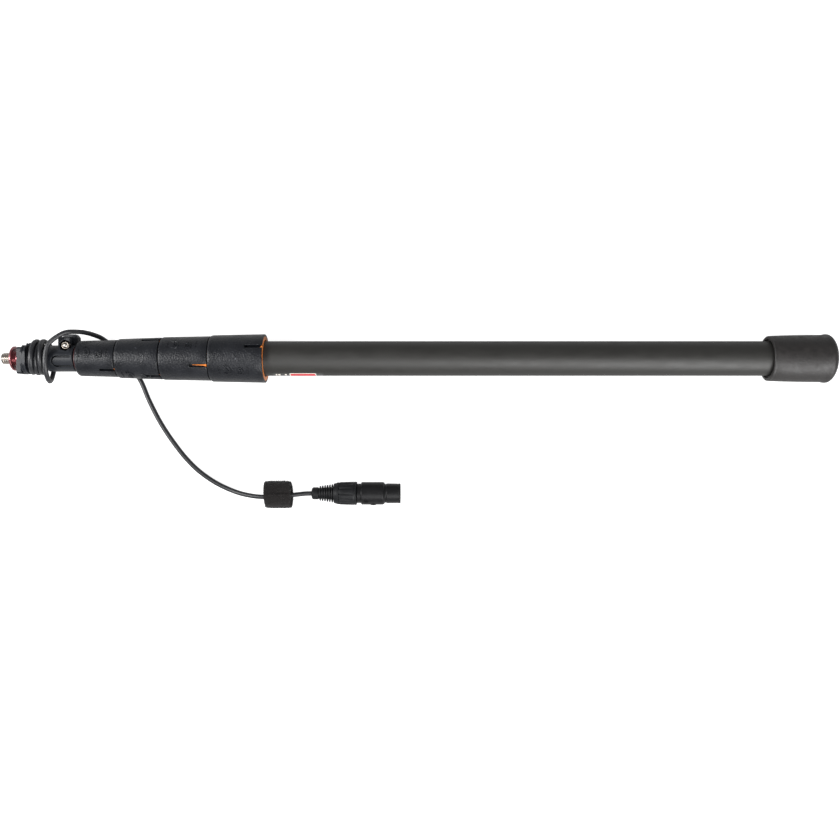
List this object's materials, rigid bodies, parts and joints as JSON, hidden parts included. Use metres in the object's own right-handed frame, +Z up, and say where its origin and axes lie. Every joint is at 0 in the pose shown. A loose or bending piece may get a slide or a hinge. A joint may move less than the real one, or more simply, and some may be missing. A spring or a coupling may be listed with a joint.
{
  "type": "boom pole",
  "caption": "Telescopic microphone boom pole, closed, with twist-lock collars, a threaded tip with a wound signal cord and round connector, and a rubber butt cap.",
  "frame": {"origin": "under the middle of the closed pole, on the surface that it lies on, directly below the pole's axis", "axes": "+X along the pole from the threaded tip to the butt, +Y across it on the side of the clamp's ears, +Z up"},
  "size_m": [0.6649, 0.1435, 0.039],
  "materials": {
    "carbon_tube": "matt lacquered carbon-fibre composite",
    "collar_grip": "moulded, fine leather-like texture",
    "orange_nut": "moulded orange acetal",
    "inner_plastic": "moulded",
    "black_anodised": "black anodised",
    "butt_rubber": "moulded, matt",
    "stainless_steel": "turned",
    "red_anodised": "red anodised",
    "tip_plastic": "moulded glass-filled nylon",
    "cord_jacket": "matt jacket",
    "strap_fabric": "hook-and-loop tape",
    "connector_metal": "black plated die-cast zinc",
    "connector_plastic": "moulded",
    "label_film": "printed film, blank",
    "contact_metal": "gold plated"
  },
  "bodies": {
    "base": {"base_tube": "carbon_tube", "base_plug": "black_anodised", "butt_cap": "butt_rubber", "ferrule_4": "black_anodised", "collet_4": "inner_plastic"},
    "collar_4": {"grip_4": "collar_grip", "nut_4": "orange_nut"},
    "section_2": {"section_2_tube": "carbon_tube", "section_2_bush": "inner_plastic", "ferrule_3": "black_anodised", "collet_3": "inner_plastic"},
    "collar_3": {"grip_3": "collar_grip", "nut_3": "orange_nut"},
    "section_3": {"section_3_tube": "carbon_tube", "section_3_bush": "inner_plastic", "ferrule_2": "black_anodised", "collet_2": "inner_plastic"},
    "collar_2": {"grip_2": "collar_grip", "nut_2": "orange_nut"},
    "section_4": {"section_4_tube": "carbon_tube", "section_4_bush": "inner_plastic", "ferrule_1": "black_anodised", "collet_1": "inner_plastic"},
    "collar_1": {"grip_1": "collar_grip", "nut_1": "orange_nut"},
    "tip": {"tip_tube": "carbon_tube", "section_5_bush": "inner_plastic", "clamp_body": "tip_plastic", "clamp_screw": "stainless_steel", "clamp_nut": "stainless_steel", "tip_spool": "tip_plastic", "tip_block": "tip_plastic", "tip_disc": "red_anodised", "tip_stud": "stainless_steel", "cord_gland": "cord_jacket", "cord_winding": "cord_jacket", "cord_run": "cord_jacket", "cord_tail": "cord_jacket", "strap_roll": "strap_fabric", "connector_boot": "connector_plastic", "connector_bushing": "connector_plastic", "connector_shell": "connector_metal", "connector_insert": "connector_plastic"}
  },
  "joints": [
    {"name": "collar_4_twist", "type": "hinge", "parent": "base", "child": "collar_4", "pos_m": [-0.14545, 0, 0.0195], "axis": [1, 0, 0], "range_deg": [0, 150]},
    {"name": "section_2_slide", "type": "slide", "parent": "base", "child": "section_2", "axis": [-1, 0, 0], "range_m": [0, 0.4]},
    {"name": "collar_3_twist", "type": "hinge", "parent": "section_2", "child": "collar_3", "pos_m": [-0.18628, 0, 0.0195], "axis": [1, 0, 0], "range_deg": [0, 150]},
    {"name": "section_3_slide", "type": "slide", "parent": "section_2", "child": "section_3", "axis": [-1, 0, 0], "range_m": [0, 0.43]},
    {"name": "collar_2_twist", "type": "hinge", "parent": "section_3", "child": "collar_2", "pos_m": [-0.2232, 0, 0.0195], "axis": [1, 0, 0], "range_deg": [0, 150]},
    {"name": "section_4_slide", "type": "slide", "parent": "section_3", "child": "section_4", "axis": [-1, 0, 0], "range_m": [0, 0.45]},
    {"name": "collar_1_twist", "type": "hinge", "parent": "section_4", "child": "collar_1", "pos_m": [-0.25643, 0, 0.0195], "axis": [1, 0, 0], "range_deg": [0, 150]},
    {"name": "tip_slide", "type": "slide", "parent": "section_4", "child": "tip", "axis": [-1, 0, 0], "range_m": [0, 0.47]}
  ]
}
